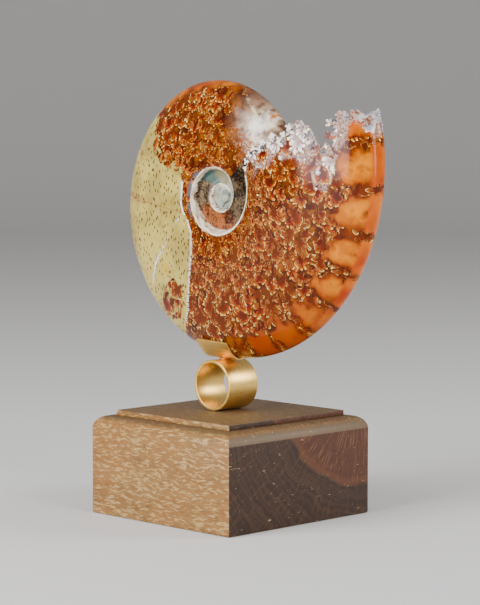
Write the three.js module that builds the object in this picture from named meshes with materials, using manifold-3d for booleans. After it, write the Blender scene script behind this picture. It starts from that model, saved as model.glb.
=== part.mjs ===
// A polished ammonite with a broken, frilled end, held upright in a bent brass cradle that is
// soldered to a short brass ring, on a square block of oak with a routed top edge.
// Millimetres, +Z up. The origin is the middle of the block's underside. The shell's coil lies in
// the XZ plane, the flank that is looked at faces -Y, and the broken end is at the top on +X.
import * as THREE from 'three';
import Module from 'manifold-3d';

const wasm = await Module();
wasm.setup();

// Oak block
const blockSide = 97.8;
const blockEdgeRound = 6.35;
const ledgeHeight = 49.3;
const platformInset = 8.7;
const platformTop = 52.0;
const footChamfer = 0.6;
const roundSteps = 8;

// Brass ring, cut from 1 inch tube, lying with its axis along Y
const contactGap = 0.2;
const ringRadius = 12.7;
const ringWall = 1.5;
const ringLength = 19.7;
const ringEdgeBreak = 0.3;
const ringX = -3.0;
const ringFacets = 48;

// Brass cradle, a strip bent once about a line along X to the shell's section at its lowest turn
const cradleThickness = 0.8;
const cradleTurn = radians(272.2);
const cradleEnds = [{ x: -13.5, reach: 0.151 }, { x: 7.4, reach: 0.135 }];
const cradleBend = [0, 0.035, 0.126, 0.28, 0.49, 0.734, 1];

// Shell: the coil's axis, and the spirals of its keel and of its inner shoulder
const coilX = 4.3;
const coilZ = 159.4;
const keelRadius = 102.8;
const keelGrowth = 0.1331;
const keelOval = { cos1: -0.09, sin1: 0.0252, cos2: 0.0098, sin2: 0.0062 };
const shoulderRadius = 24.6;
const shoulderGrowth = 0.135;
const shoulderShift = 0.09;
const halfThicknessAtEnd = 19;
const halfThicknessTurn = radians(380);
const thicknessPowerOuter = 0.6;
const thicknessPowerInner = 0.42;
const firstTurnsLower = 0.12;
const firstTurns = { from: radians(-330), to: radians(-150) };
const flankPower = 2.5;
const flankStations = [0.07, 0.18, 0.3, 0.42, 0.54, 0.65, 0.75, 0.83, 0.9, 0.95, 0.985];
const wallTopShare = 0.97;
const wallProfile = [[0.8, 0.55], [0.88, 0.68], [0.95, 0.87], [1.0, wallTopShare]];
const outerTurnFrom = 85;
const outerTurnStep = 8.1;
const outerTurnCount = 40;
const tongueScale = 0.9;
const innerTurnFrom = -428;
const innerTurnStep = 12;
const innerPerTurn = 30;
const innerTurnCount = 46;
const innerTaper = 3;
const seamReach = 0.84;
const nucleusHalfThickness = 9.2;
const nucleusCrown = [-1.6, 1.2];
const weldPerMm = 1e4;

// Broken end, which follows the last frilled suture line. A lobe is a flat-bottomed fall in the
// line, at a place across the flank and with a depth in degrees of turn.
const sutureSteps = 400;
const lobeSteepness = 4;
const sutureLeanStart = 400;
const sutureLean = 16.5;
const sutureUmbilicalDrop = 16;
const sutureUmbilicalReach = 0.05;
const sutureLobes = [
  { at: 1.0, depth: 3.5, halfWidth: 0.04 },
  { at: 0.665, depth: 10.5, halfWidth: 0.085 },
  { at: 0.37, depth: 4.0, halfWidth: 0.042 },
  { at: 0.27, depth: 3.5, halfWidth: 0.035 },
  { at: 0.185, depth: 3.0, halfWidth: 0.028 },
];
const frillLength = 6.0;
const frillHeight = 2.3;
const frillNeck = 0.4;
const frillSamples = 6;
const frillScaleRadius = 85;
const sutureFrom = -0.16;
const sutureTo = 1.08;
const septumLevels = [0, 0.5, 0.8, 0.93];
const septumLeastY = 3.2;
const septumMargin = 1.6;
const septumSideClear = 27;
const septumRise = 75;
const lobeFade = 0.5;
const septumHollow = { at: 0.44, depth: 13.5, halfWidth: 0.28, farShare: 0.85 };

function radians(degrees) {
  return degrees * Math.PI / 180;
}

function smoothStep(from, to, value) {
  const t = Math.min(Math.max((value - from) / (to - from), 0), 1);
  return t * t * (3 - 2 * t);
}

// Shell spirals. A turn angle runs on from one whorl to the next, and 360 degrees is +X on the
// outer whorl.
function keel(turn) {
  const t = turn - 2 * Math.PI;
  const oval = keelOval.cos1 * Math.cos(t) + keelOval.sin1 * Math.sin(t)
    + keelOval.cos2 * Math.cos(2 * t) + keelOval.sin2 * Math.sin(2 * t);
  return keelRadius * Math.exp(keelGrowth * t + oval);
}

function shoulder(turn) {
  const growth = Math.exp(shoulderGrowth * (turn - 2 * Math.PI));
  return shoulderRadius * growth * (1 + shoulderShift * Math.sin(turn));
}

function shoulderHalfThickness(turn) {
  const blend = smoothStep(0, Math.PI, turn);
  const power = thicknessPowerInner + (thicknessPowerOuter - thicknessPowerInner) * blend;
  const lower = 1 - firstTurnsLower * (1 - smoothStep(firstTurns.from, firstTurns.to, turn));
  return lower * halfThicknessAtEnd * (keel(turn) / keel(halfThicknessTurn)) ** power;
}

// Half the shell's thickness at a place across the flank, from 0 at the shoulder to 1 at the keel
function flankHalfThickness(turn, across) {
  const u = Math.min(Math.max(across, 0), 1);
  return shoulderHalfThickness(turn) * Math.sqrt(1 - u ** flankPower);
}

function flankRadius(turn, across) {
  return shoulder(turn) + (keel(turn) - shoulder(turn)) * across;
}

function coilPoint(turn, radius, y) {
  return [coilX + radius * Math.cos(turn), y, coilZ + radius * Math.sin(turn)];
}

// A closed mesh made from rings of points, each joined to the next, with both ends capped by fans
function loft(rings) {
  const count = rings[0].length;
  const points = rings.flat();
  const triangles = [];
  for (let i = 0; i + 1 < rings.length; i += 1) {
    for (let j = 0; j < count; j += 1) {
      const a = i * count + j;
      const b = i * count + (j + 1) % count;
      triangles.push([a, b, a + count], [b, b + count, a + count]);
    }
  }
  const middle = (ring) => [0, 1, 2].map((k) => ring.reduce((sum, p) => sum + p[k], 0) / count);
  const first = points.push(middle(rings[0])) - 1;
  const last = points.push(middle(rings.at(-1))) - 1;
  const lastRing = (rings.length - 1) * count;
  for (let j = 0; j < count; j += 1) {
    triangles.push([first, (j + 1) % count, j]);
    triangles.push([last, lastRing + j, lastRing + (j + 1) % count]);
  }
  return { points, triangles };
}

function facingOut({ points, triangles }) {
  let volume = 0;
  for (const [a, b, c] of triangles) {
    const [p, q, r] = [points[a], points[b], points[c]];
    volume += p[0] * (q[1] * r[2] - q[2] * r[1]) - p[1] * (q[0] * r[2] - q[2] * r[0])
      + p[2] * (q[0] * r[1] - q[1] * r[0]);
  }
  return volume > 0 ? { points, triangles }
    : { points, triangles: triangles.map(([a, b, c]) => [a, c, b]) };
}

function toSolid(mesh) {
  const { points, triangles } = facingOut(mesh);
  return new wasm.Manifold(new wasm.Mesh({
    numProp: 3,
    vertProperties: new Float32Array(points.flat()),
    triVerts: new Uint32Array(triangles.flat()),
  }));
}

function toGeometry({ points, triangles }) {
  const geometry = new THREE.BufferGeometry();
  geometry.setAttribute('position', new THREE.Float32BufferAttribute(points.flat(), 3));
  geometry.setIndex(triangles.flat());
  return geometry.toNonIndexed();
}

function solidToGeometry(solid) {
  const { vertProperties, triVerts } = solid.getMesh();
  const geometry = new THREE.BufferGeometry();
  geometry.setAttribute('position', new THREE.BufferAttribute(vertProperties, 3));
  geometry.setIndex(new THREE.BufferAttribute(triVerts, 1));
  return geometry.toNonIndexed();
}

// Shell
function whorlRing(turn) {
  const shoulderY = shoulderHalfThickness(turn);
  const wall = wallProfile.map(([r, y]) => [shoulder(turn) * r, shoulderY * y]);
  const flank = flankStations.map((u) => [flankRadius(turn, u), flankHalfThickness(turn, u)]);
  const half = [...wall, ...flank];
  const near = half.map(([r, y]) => coilPoint(turn, r, -y));
  const far = half.map(([r, y]) => coilPoint(turn, r, y)).reverse();
  return [...near, coilPoint(turn, keel(turn), 0), ...far];
}

// The same ring drawn in a little towards its middle
function tongueRing(turn, scale) {
  const middle = coilPoint(turn, (shoulder(turn) + keel(turn)) / 2, 0);
  return whorlRing(turn).map((p) => p.map((value, k) => middle[k] + (value - middle[k]) * scale));
}

// The outer whorl, which starts as a tongue inside the whorls before it
function outerWhorl() {
  const turns = Array.from({ length: outerTurnCount + 1 }, (_, i) => (
    radians(outerTurnFrom + i * outerTurnStep)));
  const tongue = tongueRing(turns[0] - radians(outerTurnStep / 2), tongueScale);
  return toSolid(loft([tongue, ...turns.map(whorlRing)]));
}

// The whorls before it, as one spiral sheet for each flank. Each station's row runs from the seam
// up the wall, over the shoulder and out to the next seam or the keel. At its end the sheet
// shrinks onto the keel of the whorl before, inside the outer whorl.
function innerWhorls() {
  const turnAt = (k) => radians(innerTurnFrom + k * innerTurnStep);
  const shrunk = (k) => smoothStep(innerTurnCount - innerTaper, innerTurnCount, k);
  const seam = (k) => {
    const radius = seamReach * shoulder(turnAt(k));
    if (k < innerPerTurn) return [radius, nucleusHalfThickness];
    const before = turnAt(k - innerPerTurn);
    const edge = radius + (keel(before) - radius) * shrunk(k);
    const across = (edge - shoulder(before)) / (keel(before) - shoulder(before));
    return [edge, flankHalfThickness(before, across)];
  };
  const row = (k) => {
    const turn = turnAt(k);
    const foot = seam(k);
    const rim = shoulderHalfThickness(turn);
    const covered = k + innerPerTurn < innerTurnCount;
    const end = covered ? seam(k + innerPerTurn) : [keel(turn), 0];
    const reach = (end[0] - shoulder(turn)) / (keel(turn) - shoulder(turn));
    const wallMiddle = [(foot[0] + shoulder(turn)) / 2, (foot[1] + rim) / 2];
    const wall = [wallMiddle, [shoulder(turn), wallTopShare * rim]];
    const flank = flankStations.map((u) => (
      [flankRadius(turn, u * reach), flankHalfThickness(turn, u * reach)]));
    const line = [foot, ...wall, ...flank, end];
    return line.map(([radius, y]) => [
      radius + (foot[0] - radius) * shrunk(k),
      y === 0 ? 0 : y + (foot[1] - y) * shrunk(k),
    ]);
  };
  const points = [];
  const triangles = [];
  for (const side of [-1, 1]) {
    const rows = Array.from({ length: innerTurnCount + 1 }, (_, k) => (
      row(k).map(([radius, y]) => points.push(coilPoint(turnAt(k), radius, side * y)) - 1)));
    addSpiralSheet({ rows, side, points, triangles });
  }
  return toSolid(weldMesh({ points, triangles }));
}

function addSpiralSheet({ rows, side, points, triangles }) {
  const put = (a, b, c) => triangles.push(side < 0 ? [a, b, c] : [a, c, b]);
  for (let k = 0; k < innerTurnCount; k += 1) {
    for (let j = 0; j + 1 < rows[k].length; j += 1) {
      put(rows[k][j], rows[k][j + 1], rows[k + 1][j]);
      put(rows[k][j + 1], rows[k + 1][j + 1], rows[k + 1][j]);
    }
  }
  const crown = [coilX + nucleusCrown[0], side * nucleusHalfThickness, coilZ + nucleusCrown[1]];
  const middle = points.push(crown) - 1;
  const feet = rows.slice(0, innerPerTurn).map((line) => line[0]);
  const loop = [...feet, ...rows[0].slice().reverse()];
  loop.forEach((from, i) => put(from, loop[(i + 1) % loop.length], middle));
}

// Points that lie on each other made one, and the triangles that this flattens left out
function weldMesh({ points, triangles }) {
  const seen = new Map();
  const kept = [];
  const index = points.map((p) => {
    const key = p.map((value) => Math.round(value * weldPerMm)).join(' ');
    if (!seen.has(key)) seen.set(key, kept.push(p) - 1);
    return seen.get(key);
  });
  const joined = triangles.map((triangle) => triangle.map((i) => index[i]));
  return { points: kept, triangles: joined.filter(([a, b, c]) => a !== b && b !== c && c !== a) };
}

// The suture's main line, as a turn angle for a place across the flank. Depth fades the lobes from
// 1 at the shell's surface towards the middle of its thickness, and hollow, from 0 to 1, lets the
// line down into the last chamber, behind the standing edge.
function sutureTurn(across, depth, hollow) {
  const drop = sutureUmbilicalDrop * Math.exp(-Math.max(across, 0) / sutureUmbilicalReach);
  const fall = ({ at, depth: size, halfWidth }) => (
    size * Math.exp(-(((across - at) / halfWidth) ** lobeSteepness)));
  const lobes = sutureLobes.reduce((sum, lobe) => sum + fall(lobe), 0);
  const sunk = hollow * fall(septumHollow);
  return radians(sutureLeanStart - sutureLean * across - drop - depth * lobes - sunk);
}

function sutureMain(depth, hollow) {
  const line = [];
  for (let i = 0; i <= sutureSteps; i += 1) {
    const across = sutureFrom + (sutureTo - sutureFrom) * i / sutureSteps;
    const turn = sutureTurn(across, depth, hollow);
    const r = flankRadius(turn, across);
    line.push(new THREE.Vector2(r * Math.cos(turn), r * Math.sin(turn)));
  }
  return line;
}

// Places along the main line where the frilled line has its points, evenly spread in each frill
function sutureMarks(line) {
  const marks = [];
  let phase = 0;
  for (let i = 0; i + 1 < line.length; i += 1) {
    const scale = Math.sqrt(line[i].length() / frillScaleRadius);
    const next = phase + line[i].distanceTo(line[i + 1]) / (frillLength * scale);
    for (let k = Math.ceil(phase * frillSamples); k < next * frillSamples; k += 1) {
      const t = (k / frillSamples - phase) / (next - phase);
      marks.push({ index: i, t, phase: k / frillSamples * 2 * Math.PI, scale });
    }
    phase = next;
  }
  return marks;
}

// Frills stand square to the main line, with necks narrower than their rounded heads
function septumLine(marks, main, frill) {
  return marks.map(({ index, t, phase, scale }) => {
    const from = main[index];
    const along = main[index + 1].clone().sub(from).normalize();
    const up = new THREE.Vector2(-along.y, along.x);
    const size = frillHeight * scale * frill;
    return from.clone().lerp(main[index + 1], t)
      .addScaledVector(up, size * Math.cos(phase))
      .addScaledVector(along, size * frillNeck * Math.sin(2 * phase));
  });
}

function acrossAt(point) {
  const turn = Math.atan2(point.y, point.x) + 2 * Math.PI;
  const across = (point.length() - shoulder(turn)) / (keel(turn) - shoulder(turn));
  return { turn, across };
}

// One half of the folded last septum, as rows of points from the mid-plane out past the flank. On
// the near side its hollow ends behind the standing edge, and on the far side the edge is low too.
function septumHalf(marks, side) {
  const rimHollow = side < 0 ? 0 : septumHollow.farShare;
  const rim = septumLine(marks, sutureMain(1, rimHollow), 1);
  const rimY = rim.map((point) => {
    const { turn, across } = acrossAt(point);
    return Math.max(flankHalfThickness(turn, across), septumLeastY);
  });
  const levels = septumLevels.map((q) => {
    const rise = (q / septumLevels.at(-1)) ** 2;
    const main = sutureMain(lobeFade + (1 - lobeFade) * rise, 1 + (rimHollow - 1) * rise);
    return septumLine(marks, main, rise).map((point, i) => [point, side * q * rimY[i]]);
  });
  const plain = septumLine(marks, sutureMain(1, rimHollow), 0);
  return [
    ...levels,
    rim.map((point, i) => [point, side * (rimY[i] + septumMargin)]),
    plain.map((point) => [point, side * septumSideClear]),
  ];
}

// Everything above the folded last septum, to be cut away from the outer whorl
function septumCutter() {
  const marks = sutureMarks(sutureMain(1, 0));
  const rows = [...septumHalf(marks, -1).slice(1).reverse(), ...septumHalf(marks, 1)];
  const ring = (i) => {
    const low = rows.map((row) => [coilX + row[i][0].x, row[i][1], coilZ + row[i][0].y]);
    const high = low.map(([x, y, z]) => [x, y, z + septumRise]).reverse();
    return [...low, ...high];
  };
  return toSolid(loft(marks.map((_, i) => ring(i))));
}

function ammonite() {
  const broken = outerWhorl().subtract(septumCutter());
  return solidToGeometry(innerWhorls().add(broken));
}

// Cradle: the section near the keel, set off outwards by the gap and by the thickness
function cradleRing({ x, reach }) {
  const outline = cradleBend.map((part) => new THREE.Vector2(
    flankRadius(cradleTurn, 1 - reach * part), flankHalfThickness(cradleTurn, 1 - reach * part)));
  const offset = (distance) => outline.map((point, i) => {
    if (i === 0) return new THREE.Vector2(point.x + distance, 0);
    const before = outline[i - 1];
    const after = outline[Math.min(i + 1, outline.length - 1)];
    const along = after.clone().sub(before).normalize();
    return new THREE.Vector2(point.x + along.y * distance, point.y - along.x * distance);
  });
  const inside = offset(contactGap);
  const outside = offset(contactGap + cradleThickness);
  const place = (side) => (p) => [x, side * p.y, coilZ - p.x];
  return [
    ...inside.slice(1).reverse().map(place(-1)),
    ...inside.map(place(1)),
    ...outside.slice(1).reverse().map(place(1)),
    ...outside.map(place(-1)),
  ];
}

function cradle() {
  return toGeometry(facingOut(stripLoft(cradleEnds.map(cradleRing))));
}

// A loft whose ends are capped by a strip across the bent section, which isn't convex
function stripLoft(rings) {
  const { points, triangles } = loft(rings);
  const count = rings[0].length;
  const body = triangles.slice(0, -2 * count);
  const lastRing = (rings.length - 1) * count;
  const half = count / 2;
  const cap = (start, flip) => {
    for (let j = 0; j + 1 < half; j += 1) {
      const quad = [j, j + 1, count - 2 - j, count - 1 - j].map((k) => start + k);
      const pair = [[quad[0], quad[1], quad[2]], [quad[0], quad[2], quad[3]]];
      body.push(...pair.map(([a, b, c]) => (flip ? [a, c, b] : [a, b, c])));
    }
  };
  cap(0, true);
  cap(lastRing, false);
  return { points: points.slice(0, rings.length * count), triangles: body };
}

// Ring
function ring() {
  const half = ringLength / 2;
  const bore = ringRadius - ringWall;
  const e = ringEdgeBreak;
  const profile = [
    [bore, e - half], [bore + e, -half], [ringRadius - e, -half], [ringRadius, e - half],
    [ringRadius, half - e], [ringRadius - e, half], [bore + e, half], [bore, half - e],
    [bore, e - half],
  ];
  return new THREE.LatheGeometry(profile.map(([x, y]) => new THREE.Vector2(x, y)), ringFacets);
}

// Block: square outlines stacked up the routed profile, with mitred corners
function block() {
  const half = blockSide / 2;
  const roundFrom = ledgeHeight - blockEdgeRound;
  const round = Array.from({ length: roundSteps + 1 }, (_, i) => {
    const angle = i / roundSteps * Math.PI / 2;
    return [half - blockEdgeRound * (1 - Math.cos(angle)), roundFrom + blockEdgeRound * Math.sin(angle)];
  });
  const platformHalf = half - platformInset;
  const profile = [
    [half - footChamfer, 0], [half, footChamfer], ...round,
    [platformHalf, ledgeHeight], [platformHalf, platformTop],
  ];
  const corners = [[1, -1], [1, 1], [-1, 1], [-1, -1]];
  const outlines = profile.map(([h, z]) => corners.map(([x, y]) => [x * h, y * h, z]));
  return toGeometry(facingOut(loft(outlines)));
}

const materials = {
  shell: new THREE.MeshStandardMaterial({ color: 0xb4622c, roughness: 0.2, metalness: 0 }),
  brass: new THREE.MeshStandardMaterial({ color: 0xd8ac5a, roughness: 0.35, metalness: 1 }),
  oak: new THREE.MeshStandardMaterial({ color: 0x8d6c4a, roughness: 0.7, metalness: 0 }),
};

function piece(name, geometry, material) {
  const mesh = new THREE.Mesh(geometry, material);
  mesh.name = name;
  return mesh;
}

const model = new THREE.Group();
const brassRing = piece('brass_ring', ring(), materials.brass);
brassRing.position.set(ringX, 0, platformTop + contactGap + ringRadius);
model.add(piece('wood_base', block(), materials.oak));
model.add(brassRing);
model.add(piece('brass_cradle', cradle(), materials.brass));
model.add(piece('ammonite', ammonite(), materials.shell));

export default model;
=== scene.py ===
import math

import bmesh
import bpy
import numpy as np
from mathutils import Matrix, Vector


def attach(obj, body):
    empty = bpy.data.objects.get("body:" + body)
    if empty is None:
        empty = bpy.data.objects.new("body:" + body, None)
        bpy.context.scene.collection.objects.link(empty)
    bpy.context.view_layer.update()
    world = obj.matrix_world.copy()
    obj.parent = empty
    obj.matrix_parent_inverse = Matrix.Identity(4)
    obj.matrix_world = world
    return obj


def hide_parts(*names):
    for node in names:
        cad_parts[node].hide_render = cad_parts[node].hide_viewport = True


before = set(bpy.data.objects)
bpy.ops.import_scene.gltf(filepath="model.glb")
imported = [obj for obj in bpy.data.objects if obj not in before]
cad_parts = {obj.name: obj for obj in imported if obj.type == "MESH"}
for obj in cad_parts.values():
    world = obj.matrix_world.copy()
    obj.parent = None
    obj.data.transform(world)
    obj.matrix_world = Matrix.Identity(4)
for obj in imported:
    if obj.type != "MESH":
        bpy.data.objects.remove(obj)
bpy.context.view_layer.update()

MM = 0.001
WELD = 1e-7

# Oak block, and the place of its tree's pith in Y and Z
BLOCK_HALF = 48.9
BLOCK_EDGE_ROUND = 6.35
BLOCK_BEVEL = 0.35
LEDGE_HEIGHT = 49.3
PLATFORM_INSET = 8.7
PLATFORM_TOP = 52.0
FOOT_CHAMFER = 0.6
PITH = (45, 75)

# Brass ring, cradle and solder
CONTACT_GAP = 0.2
RING_RADIUS = 12.7
RING_WALL = 1.5
RING_LENGTH = 19.7
RING_X = -3.0
RING_BEVEL = 0.28
CRADLE_THICKNESS = 0.8
CRADLE_TURN = 272.2
CRADLE_X = (-13.5, 7.4)
CRADLE_REACH = (0.151, 0.135)
CRADLE_ROWS = 9
CRADLE_BEVEL = 0.15
SOLDER_SIZE = (2.8, 3.6, 0.6)
SOLDER_PLACE = (RING_X, 0, 77.7)

# Shell: the coil's axis, the growth of its keel and inner shoulder, and its thickness
COIL_X = 4.3
COIL_Z = 159.4
KEEL_RADIUS = 102.8
KEEL_GROWTH = 0.1331
KEEL_OVAL = (-0.09, 0.0252, 0.0098, 0.0062)
SHOULDER_RADIUS = 24.6
SHOULDER_GROWTH = 0.135
SHOULDER_SHIFT = 0.09
HALF_THICKNESS = 19.0
THICKNESS_TURN = 380.0
THICKNESS_POWER = (0.42, 0.18)
NUCLEUS_THINNING = 0.12
NUCLEUS_HALF_THICKNESS = 9.2
FLANK_POWER = 2.5
FLANK_STATIONS = 1 - (1 - np.linspace(0, 1, 46)[1:]) ** 1.7

# Outer whorl: its wall below the shoulder as shares of the shoulder's radius and half thickness
OUTER_TURNS = (85.0, 409.0)
OUTER_STEP = 1.8
OUTER_WALL = ((0.8, 0.55), (0.84, 0.61), (0.88, 0.68), (0.915, 0.775), (0.95, 0.87),
              (0.975, 0.93), (1.0, 0.97))
BURIED_END = 0.9

# Inner whorls
INNER_TURNS = (-428.0, 124.0)
INNER_STEP = 4.0
INNER_PER_TURN = 90
INNER_TAPER = 9
SEAM_REACH = 0.84
RIM_SHARE = 0.97

# How far in millimetres a face may lie off the whorl that it belongs to
FLANK_SLACK = 0.5
WALL_SLACK = 0.2

# Broken end
SUTURE_LEAN = (400.0, 16.5)
SUTURE_DROP = (16.0, 0.05)
SUTURE_LOBES = ((1.0, 3.5, 0.04), (0.665, 10.5, 0.085), (0.37, 4.0, 0.042),
                (0.27, 3.5, 0.035), (0.185, 3.0, 0.028))
SUTURE_REACH = (-0.16, 1.08)
SUTURE_POINTS = 401
FRILL_RADIUS = 85
FRILL_LENGTH = 6.0
FRILL_HEIGHT = 2.3
FRILL_NECK = 0.4
FRILL_STEPS = 44
SMALL_FRILL_LENGTH = 2.3
SMALL_FRILL_HEIGHT = 0.5
SEPTUM_HOLLOW = (0.44, 13.5, 0.28)
SEPTUM_STATIONS = (0, 0.2, 0.36, 0.5, 0.61, 0.7, 0.78, 0.84, 0.89, 0.93)
SEPTUM_LEAST_HALF = 3.2
FAR_HOLLOW = 0.85
RIM_MARGIN = 1.6
CUTTER_HALF = 27.0
CUTTER_HEIGHT = 75.0

# Suture leaves: the angle between a leaf's lobes, its parts as shares of its length, its tones
LOBE_STEP = 0.78
LEAF_TIP = 0.4
LEAF_HEAD = 0.1
LEAF_NECK = 0.068
LEAF_BODY = 0.16
LEAF_STEM = 0.1
LEAF_TONES = ((0.0, (66, 12, 0)), (0.4, (108, 20, 0)), (0.66, (154, 52, 0)),
              (0.84, (196, 108, 0)), (1.0, (238, 168, 30)))

# Leaf layers: the lattice's spacing, its shift, and the least and greatest radius on the coil
LEAF_LAYERS = ((4.8, (33.0, 11.0, 0), 0, 46), (5.8, (83.0, 41.0, 0), 0, 52),
               (7.8, (3.0, 91.0, 0), 36, 200), (9.4, (57.0, 13.0, 0), 42, 200),
               (10.8, (21.0, 67.0, 0), 50, 200))

# Amber hearts: one of them in degrees along the coil, and the degrees to the next
AMBER_TURN = 343
AMBER_PERIOD = 13.5

# Veins, from the coil's axis: the range of X, then the range of Z and pairs of Z and X for each
VEIN_RANGE = (-60.0, 0.0)
MAIN_VEIN = (-75, 10, (
    (-72, -30.0), (-64, -25.6), (-57, -21.4), (-42, -18.0), (-28, -15.5), (-18.6, -15.3),
    (-10.8, -19.0), (-8.4, -21.3), (-4.5, -22.9), (6, -22.7)))
SIDE_VEIN = (-50, -5, (
    (-45.2, -49.6), (-34.6, -44.1), (-28.2, -38.1), (-20.9, -32.8), (-13.1, -26.5),
    (-9.4, -20.5)))

# Umbilicus, going in: the turns where a tone begins and is full, its share, its dark and its light
INNER_TONES = ((-30, -60, 1, (60, 24, 12), (158, 92, 50)),
               (-140, -164, 1, (44, 34, 24), (128, 106, 80)),
               (-208, -228, 0.85, (78, 104, 100), (78, 104, 100)),
               (-248, -268, 0.85, (134, 122, 84), (134, 122, 84)))

# Floor, in metres, and camera
FLOOR_RADIUS, SWEEP_RADIUS, WALL_HEIGHT = 2.4, 1.2, 2.4
CAMERA_AZIMUTH, CAMERA_ELEVATION = 45.3, 5.1
CAMERA_DISTANCE = 1205.4
CAMERA_SHIFT = (4.88, 105.5)
SENSOR_WIDTH = 36.0
FOCAL_PIXELS, FRAME_HEIGHT = 2400.0, 605

# Lights: degrees round from the camera, elevation, distance, width and height, and power
SKY_GREY, SKY_STRENGTH = 0.80, 0.45
LIGHT_AIM = (0, 0, 0.15)
LIGHTS = (("softbox", -54, 18, 1.2, (0.85, 1.0), 26.0),
          ("side_strip", 38, 14, 1.3, (0.26, 0.9), 7.0),
          ("rim_light", 88, 20, 1.3, (0.6, 0.45), 10.0),
          ("top_light", -20, 70, 1.6, (1.2, 1.2), 8.0))


# geometry
def smooth_step(low, high, value):
    t = np.clip((value - low) / (high - low), 0, 1)
    return t * t * (3 - 2 * t)


def keel(turn):
    t = turn - 2 * np.pi
    a, b, c, d = KEEL_OVAL
    oval = a * np.cos(t) + b * np.sin(t) + c * np.cos(2 * t) + d * np.sin(2 * t)
    return KEEL_RADIUS * np.exp(KEEL_GROWTH * t + oval)


def shoulder(turn):
    growth = np.exp(SHOULDER_GROWTH * (turn - 2 * np.pi))
    return SHOULDER_RADIUS * growth * (1 + SHOULDER_SHIFT * np.sin(turn))


def shoulder_half(turn):
    power = THICKNESS_POWER[0] + THICKNESS_POWER[1] * smooth_step(0, np.pi, turn)
    thinned = 1 - smooth_step(np.radians(-330), np.radians(-150), turn)
    lower = 1 - NUCLEUS_THINNING * thinned
    return lower * HALF_THICKNESS * (keel(turn) / keel(np.radians(THICKNESS_TURN))) ** power


def flank_half(turn, across):
    return shoulder_half(turn) * np.sqrt(1 - np.clip(across, 0, 1) ** FLANK_POWER)


def flank_radius(turn, across):
    return shoulder(turn) + (keel(turn) - shoulder(turn)) * across


def across_at(turn, radius):
    return (radius - shoulder(turn)) / (keel(turn) - shoulder(turn))


def coil_point(turn, radius, y):
    """Metres in the row frame from a turn angle, a radius and a distance from the mid-plane."""
    return np.stack([(COIL_X + radius * np.cos(turn)) * MM, y * MM,
                     (COIL_Z + radius * np.sin(turn)) * MM], axis=-1)


def sheet_mesh(points, around=False):
    """A bmesh grid of the given rows of points; around welds the last column to the first."""
    rows, columns = points.shape[:2]
    if around:
        points = np.concatenate([points, points[:, :1]], axis=1)
        columns += 1
    mesh = bmesh.new()
    bmesh.ops.create_grid(mesh, x_segments=columns - 1, y_segments=rows - 1, size=1)
    mesh.verts.ensure_lookup_table()
    flat = points.reshape(-1, 3)
    for vert, place in zip(mesh.verts, flat):
        vert.co = place
    return mesh


def close_up(mesh, weld=WELD):
    bmesh.ops.remove_doubles(mesh, verts=mesh.verts, dist=weld)
    bmesh.ops.dissolve_degenerate(mesh, dist=1e-8, edges=mesh.edges)
    bmesh.ops.holes_fill(mesh, edges=[e for e in mesh.edges if e.is_boundary], sides=0)
    bmesh.ops.triangulate(mesh, faces=[f for f in mesh.faces if len(f.verts) > 4])
    bmesh.ops.recalc_face_normals(mesh, faces=mesh.faces)
    return mesh


def round_edges(mesh, edges, size, segments):
    bmesh.ops.bevel(mesh, geom=edges, offset=size * MM, affect="EDGES", segments=segments,
                    profile=0.5, material=-1)


def to_object(mesh, name, material):
    data = bpy.data.meshes.new(name)
    mesh.to_mesh(data)
    mesh.free()
    made = bpy.data.objects.new(name, data)
    bpy.context.scene.collection.objects.link(made)
    data.materials.append(material)
    return made


def outer_whorl():
    turns = np.radians(np.arange(OUTER_TURNS[0], OUTER_TURNS[1] + 0.1, OUTER_STEP))
    wall_r, wall_y = np.array(OUTER_WALL).T
    across = FLANK_STATIONS[:-1]
    rows = []
    for turn in turns:
        radius = np.concatenate([shoulder(turn) * wall_r, flank_radius(turn, across)])
        half = np.concatenate([shoulder_half(turn) * wall_y, flank_half(turn, across)])
        r = np.concatenate([radius, [keel(turn)], radius[::-1]])
        y = np.concatenate([-half, [0.0], half[::-1]])
        if turn == turns[0]:
            middle = (shoulder(turn) + keel(turn)) / 2
            r, y = middle + (r - middle) * BURIED_END, y * BURIED_END
        rows.append(coil_point(turn, r, y))
    return close_up(sheet_mesh(np.array(rows), around=True))


def inner_row(k, last):
    """Turn, radii and half thicknesses of one row; the last rows draw in to their foot."""
    def turn_at(j):
        return np.radians(INNER_TURNS[0] + j * INNER_STEP)

    def shrunk(j):
        return smooth_step(last - INNER_TAPER, last, j)

    def seam(j):
        radius = SEAM_REACH * shoulder(turn_at(j))
        if j < INNER_PER_TURN:
            return radius, NUCLEUS_HALF_THICKNESS
        before = turn_at(j - INNER_PER_TURN)
        edge = radius + (keel(before) - radius) * shrunk(j)
        return edge, flank_half(before, across_at(before, edge))

    turn = turn_at(k)
    foot, rim = seam(k), shoulder_half(turn)
    end = seam(k + INNER_PER_TURN) if k + INNER_PER_TURN < last else (keel(turn), 0.0)
    reach = across_at(turn, end[0])
    bend = np.linspace(0, 1, 7)[1:]
    wall_r = foot[0] + (shoulder(turn) - foot[0]) * bend
    wall_y = foot[1] + (RIM_SHARE * rim - foot[1]) * np.sin(bend * np.pi / 2)
    across = FLANK_STATIONS[:-1:2] * reach
    radius = np.concatenate([[foot[0]], wall_r, flank_radius(turn, across), [end[0]]])
    half = np.concatenate([[foot[1]], wall_y, flank_half(turn, across), [end[1]]])
    pull = shrunk(k)
    half = np.where(half == 0, 0, half + (foot[1] - half) * pull)
    return turn, radius + (foot[0] - radius) * pull, half


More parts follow.
